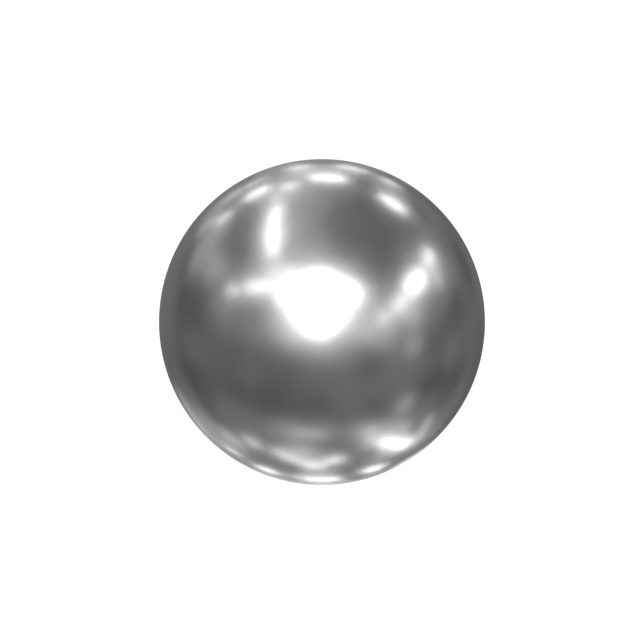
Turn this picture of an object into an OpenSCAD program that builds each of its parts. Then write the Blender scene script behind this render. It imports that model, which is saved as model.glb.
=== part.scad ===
// Polished steel ball.
// One solid piece, ground and lapped from a single steel blank, with no seam,
// bore or flat. Sizes are millimetres and +Z is up. The origin is the centre of
// the ball, so its lowest point is half a diameter below the origin.

/* [Ball] */
// Diameter of the ball, from the stock inch sizes 1/4 in to 2 in
ball_d = 25.4; // [6.35:0.05:50.8]

/* [Hidden] */

// Facets of the round surface: at most 2 degrees each, and 0.2 mm where that is longer
$fa = 2;
$fs = 0.2;

steel_grey = [0.61, 0.61, 0.62];

// The ball itself: a true sphere, solid all through.
module ball() {
    color(steel_grey)
        sphere(d = ball_d);
}

ball();
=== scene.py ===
import math

import bpy
import numpy as np
from mathutils import Euler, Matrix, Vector


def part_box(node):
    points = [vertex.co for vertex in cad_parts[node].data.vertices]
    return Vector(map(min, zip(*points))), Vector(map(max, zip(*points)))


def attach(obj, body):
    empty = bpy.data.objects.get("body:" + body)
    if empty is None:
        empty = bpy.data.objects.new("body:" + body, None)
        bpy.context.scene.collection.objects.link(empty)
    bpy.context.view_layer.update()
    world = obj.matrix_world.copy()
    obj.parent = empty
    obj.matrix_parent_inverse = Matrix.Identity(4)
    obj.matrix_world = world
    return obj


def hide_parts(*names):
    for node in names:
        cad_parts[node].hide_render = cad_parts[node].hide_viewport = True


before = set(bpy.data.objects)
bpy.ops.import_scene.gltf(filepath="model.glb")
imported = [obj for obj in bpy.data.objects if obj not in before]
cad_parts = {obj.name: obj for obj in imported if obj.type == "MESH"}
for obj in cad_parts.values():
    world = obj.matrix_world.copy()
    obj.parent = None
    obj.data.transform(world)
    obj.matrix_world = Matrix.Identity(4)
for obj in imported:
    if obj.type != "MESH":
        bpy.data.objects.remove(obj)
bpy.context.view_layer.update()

low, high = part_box("ball")
radius = high.z                      # the ball's centre is the origin, so its top is one radius up
print("frame loaded, ball radius", round(radius * 1000, 3), "mm")


camera = {
    "lens": 100,             # mm
    "sensor": 36,            # mm wide
    "nearest": 0.001,        # m, nothing closer to the camera is drawn
    "ballShare": 0.5095,     # the ball's width as a share of the picture's
    "elevation": 0,          # degrees above level
    "shiftX": -0.0031,       # a share of the picture's width: the ball sits a touch right of the middle
    "shiftY": 0.0032,        # the same, a touch below it
}


def makeCamera(choice):
    # A sphere's outline is a cone about the line of sight, with sin(half angle) = radius / distance
    data = bpy.data.cameras.new("camera")
    data.lens = choice["lens"]
    data.sensor_width = choice["sensor"]
    data.shift_x = choice["shiftX"]
    data.shift_y = choice["shiftY"]
    data.clip_start = choice["nearest"]
    halfAngle = math.atan(choice["ballShare"] * choice["sensor"] / 2 / choice["lens"])
    distance = radius / math.sin(halfAngle)
    tilt = math.radians(choice["elevation"])
    thing = bpy.data.objects.new("camera", data)
    thing.location = (0, -distance * math.cos(tilt), distance * math.sin(tilt))
    thing.rotation_euler = (math.pi / 2 - tilt, 0, 0)
    bpy.context.scene.collection.objects.link(thing)
    bpy.context.scene.camera = thing
    print("camera at", round(distance * 1000, 1), "mm")


makeCamera(camera)


class Wire:
    # A value on its way through a node tree. + - * and clamped() each add one Math node

    def __init__(self, graph, socket):
        self.graph = graph
        self.socket = socket

    def maths(self, operation, first, second, clamp=False):
        settings = {"operation": operation, "use_clamp": clamp}
        return self.graph.add("Math", settings, {0: first, 1: second})

    def __add__(self, other):
        return self.maths("ADD", self, other)

    def __radd__(self, other):
        return self.maths("ADD", other, self)

    def __sub__(self, other):
        return self.maths("SUBTRACT", self, other)

    def __rsub__(self, other):
        return self.maths("SUBTRACT", other, self)

    def __mul__(self, other):
        return self.maths("MULTIPLY", self, other)

    def __rmul__(self, other):
        return self.maths("MULTIPLY", other, self)

    def clamped(self):
        return self.maths("ADD", self, 0, True)


class Graph:
    # The node tree of a material or of the world

    def __init__(self, owner):
        owner.use_nodes = True
        self.tree = owner.node_tree
        self.tree.nodes.clear()

    def add(self, kind, settings, values, output=0):
        # One node: its settings are set first, then the value or the wire that each socket takes
        node = self.tree.nodes.new("ShaderNode" + kind)
        for name, value in settings.items():
            setattr(node, name, value)
        for name, value in values.items():
            if isinstance(value, Wire):
                self.tree.links.new(value.socket, node.inputs[name])
            else:
                node.inputs[name].default_value = value
        return Wire(self, node.outputs[output] if node.outputs else None)


ball = {
    "cells": 118,            # squares along each edge of the six faces that the sphere is made from
    "mapGap": 0.01,          # bare border round each face on the flat map, as a share of the face
    "darkTone": (0.6, 0.6, 0.6, 1),        # the duller patches of the steel
    "lightTone": (0.64, 0.64, 0.64, 1),    # the brighter patches
    "roughness": 0.263,      # the even satin of a tumbled and polished ball
    "cloudSize": 0.004,      # m, width of the faint dull and bright patches
    "cloudDetail": 3,        # layers of finer noise in them
    "cloudRoughness": 0.03,  # how much rougher the dullest steel is than the brightest
    "grainSize": 0.00012,    # m, width of the fine grain
    "grainDetail": 1,        # layers of finer noise in it
    "grainRoughness": 0.006,
    "grainBright": 0.15,     # how far it goes from the dark tone to the light one
    "grainDepth": 0.3,       # its depth as a share of the hair lines'
    "lineWidth": 0.00008,    # m, width of the hair lines that polishing leaves
    "lineLength": 0.0025,    # m
    "lineFrom": 0.64,        # the noise above this level is a line,
    "lineFull": 0.8,         # which is at its full strength from this level
    "lineGloss": 0.03,       # how much smoother a hair line is than the steel round it
    "lineBright": 0.3,       # how far it goes from the dark tone to the light one
    "lineDepth": 0.0000003,  # m, how deep the hair lines are pressed
    "lineTurns": [(0, 0, 0), (62, 18, 0), (-58, 0, 40), (15, 74, 25)],   # degrees about x, y and z
}


def sphereFace(cells):
    # One square of the sphere. u and v are angles from -45 to 45 degrees, and (tan u, tan v, 1)
    # brought to unit length is the point, so the squares are all of nearly one size
    angle = np.linspace(-np.pi / 4, np.pi / 4, cells + 1)
    u, v = np.meshgrid(angle, angle)
    point = np.stack([np.tan(u), np.tan(v), np.ones_like(u)], axis=-1)
    return point / np.linalg.norm(point, axis=-1, keepdims=True)


def flatMap(quads, cells, gap):
    # The six faces lie side by side, three to a row. A corner in column j and row i of its face
    # is at gap + (1 - 2 gap) j / cells across that face's place, and the same with i up it
    face, within = np.divmod(quads, (cells + 1) ** 2)
    i, j = np.divmod(within, cells + 1)
    across = (face % 3 + gap + (1 - 2 * gap) * j / cells) / 3
    up = (face // 3 + gap + (1 - 2 * gap) * i / cells) / 2
    return np.stack([across, up], axis=-1)


def makeBall(choice):
    cells = choice["cells"]
    face = sphereFace(cells).reshape(-1, 3)
    x, y, z = face.T
    # The same square turned to look along +Z, -Z, +X, -X, +Y and -Y
    turned = [(x, y, z), (x, -y, -z), (z, x, y), (-z, x, -y), (y, z, x), (y, -z, -x)]
    every = np.concatenate([np.stack(axes, axis=1) for axes in turned])
    corner = np.arange((cells + 1) ** 2).reshape(cells + 1, cells + 1)
    quad = np.stack([corner[:-1, :-1], corner[:-1, 1:], corner[1:, 1:], corner[1:, :-1]], axis=-1)
    quads = np.concatenate([quad.reshape(-1, 4) + side * corner.size for side in range(6)])
    # Points on a shared edge are equal to the sixth place, so they are merged into one
    points, merged = np.unique(np.round(every, 6), axis=0, return_inverse=True)
    points = points / np.linalg.norm(points, axis=1, keepdims=True)
    mesh = bpy.data.meshes.new("steel_ball")
    mesh.from_pydata(points * radius, [], merged.reshape(-1)[quads])
    mesh.shade_smooth()
    layer = mesh.uv_layers.new(name="OFBake")
    flat = flatMap(quads, cells, choice["mapGap"])
    layer.uv.foreach_set("vector", flat.astype(np.float32).ravel())
    thing = bpy.data.objects.new("steel_ball", mesh)
    bpy.context.scene.collection.objects.link(thing)
    print("ball:", len(mesh.vertices), "points,", len(mesh.polygons), "squares")
    return thing


def noise(graph, place, size, detail):
    # From 0 to 1, in patches about as wide as size, with that many layers of finer noise on them
    return graph.add("TexNoise", {}, {"Vector": place, "Scale": 1 / size, "Detail": detail})


def hairLines(graph, place, turn, choice):
    # One set of fine lines, all of them level once the ball is turned: noise stretched to the lines'
    # length and pressed to their width. They fade towards their poles, where they would lie flat
    # to the surface and show as blots
    long = choice["lineLength"]
    wide = choice["lineWidth"]
    pressed = graph.add("Mapping", {"vector_type": "TEXTURE"}, {
        "Vector": place,
        "Rotation": [math.radians(angle) for angle in turn],
        "Scale": (long, long, wide)})
    height = graph.add("SeparateXYZ", {}, {"Vector": pressed}, "Z") * (wide / radius)
    line = graph.add("MapRange", {}, {
        "Value": noise(graph, pressed, size=1, detail=0),
        "From Min": choice["lineFrom"], "From Max": choice["lineFull"]})
    return line * (1 - height * height)


def polishedSteel(choice):
    material = bpy.data.materials.new("polished steel")
    graph = Graph(material)
    place = graph.add("TexCoord", {}, {}, "Object")
    cloud = noise(graph, place, choice["cloudSize"], choice["cloudDetail"])
    grain = noise(graph, place, choice["grainSize"], choice["grainDetail"])
    lines = 0
    for turn in choice["lineTurns"]:
        lines = lines + hairLines(graph, place, turn, choice)
    lines = lines.clamped()
    bright = 1 - cloud + choice["lineBright"] * lines + choice["grainBright"] * (grain - 0.5)
    # 6 and 7 are the two colours that a Mix node takes, and 2 is the colour that it gives
    tone = graph.add("Mix", {"data_type": "RGBA"}, {
        0: bright, 6: choice["darkTone"], 7: choice["lightTone"]}, 2)
    roughness = (choice["roughness"] + (cloud - 0.5) * choice["cloudRoughness"]
                 + (grain - 0.5) * choice["grainRoughness"] - lines * choice["lineGloss"])
    bump = graph.add("Bump", {}, {
        "Height": choice["grainDepth"] * grain - lines, "Distance": choice["lineDepth"]})
    shader = graph.add("BsdfPrincipled", {}, {
        "Base Color": tone, "Metallic": 1, "Roughness": roughness, "Normal": bump})
    graph.add("OutputMaterial", {}, {"Surface": shader})
    print("steel:", len(choice["lineTurns"]), "sets of hair lines")
    return material


steelBall = makeBall(ball)
steelBall.data.materials.append(polishedSteel(ball))
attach(steelBall, "root")
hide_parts("ball")


# Each lamp is seen from the ball: degrees right of the camera and above level, degrees wide and
# high, degrees that its right end is turned up, and how bright it is next to white paper
lamps = {
    "window": (-1.5, 12, 27.5, 27.5, 45, 8),
    "window left": (-14, 23, 29, 9.5, 14, 8),
    "window right": (13, 21, 24, 7, -16, 8),
    "window bridge": (-33, 33.5, 18, 6, 10, 1.5),
    "window foot": (-2, 2.5, 15.5, 11, 0, 8),
    "window arm": (-45.5, 22, 19, 4, 8, 5),
    "window arm end": (-66, 18, 9, 5, 5, 2.4),
    "left strip": (-62, 59, 39.5, 4, -45, 4.6),
    "left strip middle": (-54, 55, 15, 8, -45, 1),
    "left strip foot": (-44, 42, 8, 6, -44, 0.8),
    "left strip head": (-122, 66.5, 6, 6, 0, 1),
    "left post": (-126.5, 40.5, 4, 7, 0, 3.6),
    "left post glow": (-136, 31.5, 7, 9.5, 0, 0.7),
    "left far post": (-152, 33.5, 3, 5, 0, 1.1),
    "back left": (-141, 51.5, 8.5, 4, -40, 6),
    "back left end": (-151, 64, 5, 7, 0, 2.8),
    "back left low": (-158, 38, 8, 5, 0, 1),
    "back top": (175.5, 61, 11.5, 4.5, 0, 6),
    "back row left": (-173, 39, 5, 9, 0, 1.4),
    "back row right": (171, 38, 7, 8, 0, 1.8),
    "back right": (126, 53.5, 10.5, 4, 46, 7.4),
    "back right low": (158.5, 37.5, 5, 6.5, 0, 2.1),
    "right strip": (71.5, 22, 18, 6, 22, 6.4),
    "right strip neck": (87, 29, 5, 4, 0, 2.9),
    "right strip top": (97, 31.5, 9, 5.5, 0, 3.4),
    "right strip side": (94, 22, 6, 10, 0, 1.2),
    "right strip tail": (54.5, 11, 13, 6, 40, 2.8),
    "right strip end": (42, 2.5, 7, 6, 0, 2.4),
    "low right": (132.5, -51, 24.5, 3, 54, 7.2),
    "low right hook": (134.5, -37, 18.5, 5, 0, 0.85),
    "low right top": (118, -49, 12, 4, 0, 0.65),
    "low right glow": (98, -66.5, 18, 7.5, 0, 0.8),
    "low back smile left": (-146, -64.5, 13, 7, 3, 1.7),
    "low back smile middle": (-173, -62.5, 8.5, 7.5, -14, 2.5),
    "low back smile right": (166.5, -69, 7.5, 6.5, 0, 2.5),
    "floor patch": (-43, -80, 8, 18, 50, 0.5),
    "low left band": (-136.5, -42, 9, 9, 0, 0.65),
    "low left spot": (-127.5, -54, 6, 6, 0, 2.1),
    "low back left": (-166, -33.5, 4.5, 6.5, 0, 3.6),
    "low back": (179.5, -36.5, 7, 9.5, 0, 2.8),
    "low back glow": (-174, -37.5, 4.5, 8, 0, 1.2),
    "low back veil": (-178, -49, 10, 12, 0, 0.4),
    "low back right": (164, -38.5, 4, 8, 0, 4.6),
    "right rim": (169, -17, 3, 6, 0, 1.7),
    "left rim low": (-156, -30.5, 2.5, 4.5, 0, 3.4),
    "left rim": (-160, -17, 8, 5, 0, 0.35),
}
lampDistance = 0.5                   # m from the ball's centre


def facing(right, up):
    # Degrees right of the camera and above level, as a direction away from the ball
    around = math.radians(right)
    above = math.radians(up)
    level = math.cos(above)
    return Vector((math.sin(around) * level, -math.cos(around) * level, math.sin(above)))


def makeLamp(name, place):
    # A rectangle that faces the ball. Its power grows with its area, so brightness is what the ball sees
    right, up, wide, high, turn, brightness = place
    away = facing(right, up)
    data = bpy.data.lights.new(name, "AREA")
    data.shape = "RECTANGLE"
    data.size = 2 * lampDistance * math.tan(math.radians(wide / 2))
    data.size_y = 2 * lampDistance * math.tan(math.radians(high / 2))
    data.energy = brightness * math.pi * data.size * data.size_y
    thing = bpy.data.objects.new(name, data)
    turned = away.to_track_quat("Z", "Y") @ Euler((0, 0, math.radians(turn))).to_quaternion()
    thing.rotation_euler = turned.to_euler()
    thing.location = away * lampDistance
    bpy.context.scene.collection.objects.link(thing)


for name, place in lamps.items():
    makeLamp(name, place)
print("lamps:", len(lamps))


# The grey room that the ball mirrors. Each glow is a soft round patch on its walls: degrees right of
# the camera and above level, degrees from its middle to its edge, and how much brighter it is than
# the wall. The last ones are darker than the wall, so they have a minus
room = {
    "walls": 0.125,          # how bright the bare wall is next to white paper
    "seenByCamera": 1.1,     # the white that the camera sees behind the ball
    "glows": {
        "ceiling": (-80, 76, 24, 0.2),
        "curtain": (-38, 54, 31, 0.22),
        "curtain fold": (-33, 53, 10, 0.05),
        "curtain end": (-42, 62, 8, 0.06),
        "arm veil": (-54, 29, 16, 0.19),
        "top veil": (10, 66, 34, 0.06),
        "left wall": (-114, 31, 17, 0.37),
        "left wall low": (-91, 27, 12, 0.42),
        "left wall foot": (-77, 26, 10, 0.15),
        "left wall low end": (-79, 11, 10, 0.12),
        "left low": (-63, 8, 20, 0.15),
        "left low step": (-46, -5, 14, 0.09),
        "left far low": (-85, -10, 26, 0.035),
        "back left wall": (-150, 4, 44, 0.035),
        "left far wall": (-142, 5, 24, 0.03),
        "low left wall": (-144, -33, 14, 0.31),
        "low left rim": (-156, -17, 9, 0.22),
        "left rim foot": (-160, -27, 7, 0.24),
        "left rim glow": (-153, -20, 10, 0.23),
        "low left veil": (-103, -50, 22, 0.1),
        "back wall": (-170, 56, 30, 0.23),
        "back wall high": (176, 78, 20, 0.12),
        "back wall gap": (-165, 55, 9, 0.08),
        "back wall spot": (-169, 51, 6, 0.3),
        "back left gap": (-136, 63, 10, 0.27),
        "back wall right": (140, 50, 12, 0.12),
        "back right gap": (148.5, 45, 8, 0.38),
        "back wall low": (180, 46, 14, 0.28),
        "left rim high": (-153, 29, 10, 0.25),
        "left rim spot": (-148.5, 34, 5.5, 0.2),
        "back wall left": (-122, 50, 16, 0.06),
        "back rim": (178, 15, 14, 0.16),
        "back rim left": (-172, 26, 6, 0.3),
        "left strip top": (-120, 68, 14, 0.2),
        "right strip rise": (80, 36, 11, 0.12),
        "left strip veil": (-92, 52, 11, 0.09),
        "right wall": (88, 18, 18, 0.11),
        "right wall edge": (109, 21, 11, 0.08),
        "right far high": (120, 30, 23, 0.08),
        "right high wall": (108, 46, 26, 0.05),
        "right low wall": (104, -12, 11, 0.11),
        "right low step": (86, -22, 10, 0.06),
        "right far wall": (126, -2, 22, 0.05),
        "right rim low": (141, -24, 16, 0.08),
        "right rim near": (153, -29, 9, 0.18),
        "right rim high": (147, 28, 12, 0.07),
        "right rim middle": (152, 8, 12, 0.05),
        "right strip shade": (64, 6, 13, 0.6),
        "right strip haze": (53, 17, 10, 0.11),
        "right strip low": (80, 1, 10, 0.07),
        "right low": (40, -2, 20, 0.42),
        "right low middle": (33, -6, 9, 0.08),
        "right low fold": (50, -14, 10, 0.08),
        "right low spot": (67.5, -13, 10, 0.44),
        "front left": (-26, -3, 17, 0.3),
        "front left near": (-18, -9, 9, 0.2),
        "front left far": (-49, -9, 12, 0.06),
        "left low near": (-104, -9, 12, 0.06),
        "left low far": (-132, -23, 9, 0.07),
        "front low far left": (-58, -30, 14, 0.05),
        "front right": (24, -5, 14, 0.2),
        "low right near": (62, -36, 24, 0.08),
        "low middle": (24, -51, 21, 0.07),
        "front low left": (-10, -43, 16, 0.03),
        "front low right": (18, -30, 9, 0.05),
        "window side": (34, 20, 10, 0.33),
        "window top": (0, 47, 12, 0.12),
        "window top left": (-17, 42, 9, 0.12),
        "window top right": (24, 37, 10, 0.1),
        "window haze": (0, 6, 44, 0.31),
        "window low left": (-38, 9, 9, 0.12),
        "low right spot": (87.5, -44.5, 8, 0.54),
        "low right high": (110, -37, 10, 0.1),
        "low right foot": (146, -49, 9, 0.35),
        "low right veil": (106, -57, 14, 0.38),
        "low right inside": (109, -54, 6, 0.25),
        "low right gap": (126, -64, 7, 0.2),
        "low back haze": (-170, -55, 30, 0.08),
        "low back smile veil": (-148, -74, 10, 0.6),
        "low back rim": (180, -13, 16, 0.62),
        "floor left": (-78, -72, 15, 0.26),
        "floor middle": (0, -81, 14, 0.16),
        "floor right": (120, -80, 26, 0.05),
        "floor right near": (76, -71, 11, 0.28),
        "dark left": (-98, 0, 13, -0.04),
        "dark left low window": (-57, 1, 10, -0.06),
        "dark left far": (-117, 8, 10, -0.04),
        "dark left post": (-128, 20, 9, -0.05),
        "dark left low": (-119, -20, 11, -0.05),
        "dark low left": (-84, -43, 10, -0.04),
        "dark low back": (-166, -54.5, 7, -0.18),
        "dark left rim": (-148, -8, 9, -0.04),
        "dark front left": (-52, -53, 11, -0.035),
        "dark front middle": (4, -58, 9, -0.04),
        "dark front": (-14, -23, 14, -0.03),
        "dark front right": (38, -28, 10, -0.045),
        "dark front right low": (58, -49, 12, -0.04),
        "dark right low": (96, -30, 13, -0.045),
        "dark right foot": (126, -17, 10, -0.04),
        "dark right near": (80, -12, 8, -0.03),
        "dark low right": (102, -50, 7, -0.1),
        "dark window side": (30, 3, 8, -0.14),
        "dark right": (110, 8, 10, -0.04),
        "dark right high": (133, 18, 14, -0.04),
        "dark back rim": (166.5, 36, 6, -0.08),
        "dark right top": (132, 40, 8, -0.07),
        "dark top": (32, 58, 12, -0.04),
        "dark back right": (155, 54, 9, -0.12),
        "dark left high": (-60, 40, 8, -0.06),
        "dark curtain": (-34, 72, 8, -0.08),
    },
}


def makeWorld(choice):
    # The camera sees white, and the ball sees the room
    world = bpy.data.worlds.new("room")
    bpy.context.scene.world = world
    graph = Graph(world)
    direction = graph.add("TexCoord", {}, {}, "Generated")
    light = choice["walls"]
    for right, up, spread, brightness in choice["glows"].values():
        nearness = graph.add("VectorMath", {"operation": "DOT_PRODUCT"},
                             {0: direction, 1: facing(right, up)}, "Value")
        glow = graph.add("MapRange", {"interpolation_type": "SMOOTHERSTEP"}, {
            "Value": nearness, "From Min": math.cos(math.radians(spread)), "From Max": 1,
            "To Min": 0, "To Max": brightness})
        light = light + glow
    seen = graph.add("LightPath", {}, {}, "Is Camera Ray")
    strength = light * (1 - seen) + choice["seenByCamera"] * seen
    paint = graph.add("Background", {}, {"Color": (1, 1, 1, 1), "Strength": strength})
    graph.add("OutputWorld", {}, {"Surface": paint})
    print("room:", len(choice["glows"]), "glows")


floor = {
    "width": 4,              # m
    "brightness": 1.1,       # as white as the wall behind, so that the two meet without a line
}


def makeFloor(choice):
    # A level square that just touches the ball. The ball mirrors the room and not this floor
    half = choice["width"] / 2
    corners = [(-half, -half), (half, -half), (half, half), (-half, half)]
    mesh = bpy.data.meshes.new("floor")
    mesh.from_pydata([(x, y, -radius) for x, y in corners], [], [(0, 1, 2, 3)])
    material = bpy.data.materials.new("pale floor")
    graph = Graph(material)
    glow = graph.add("Emission", {}, {"Color": (1, 1, 1, 1), "Strength": choice["brightness"]})
    graph.add("OutputMaterial", {}, {"Surface": glow})
    mesh.materials.append(material)
    thing = bpy.data.objects.new("floor", mesh)
    thing.visible_glossy = False
    thing.visible_shadow = False
    bpy.context.scene.collection.objects.link(thing)
    print("floor at", round(-radius * 1000, 3), "mm")


makeWorld(room)
makeFloor(floor)
bpy.context.scene.view_settings.view_transform = "Standard"
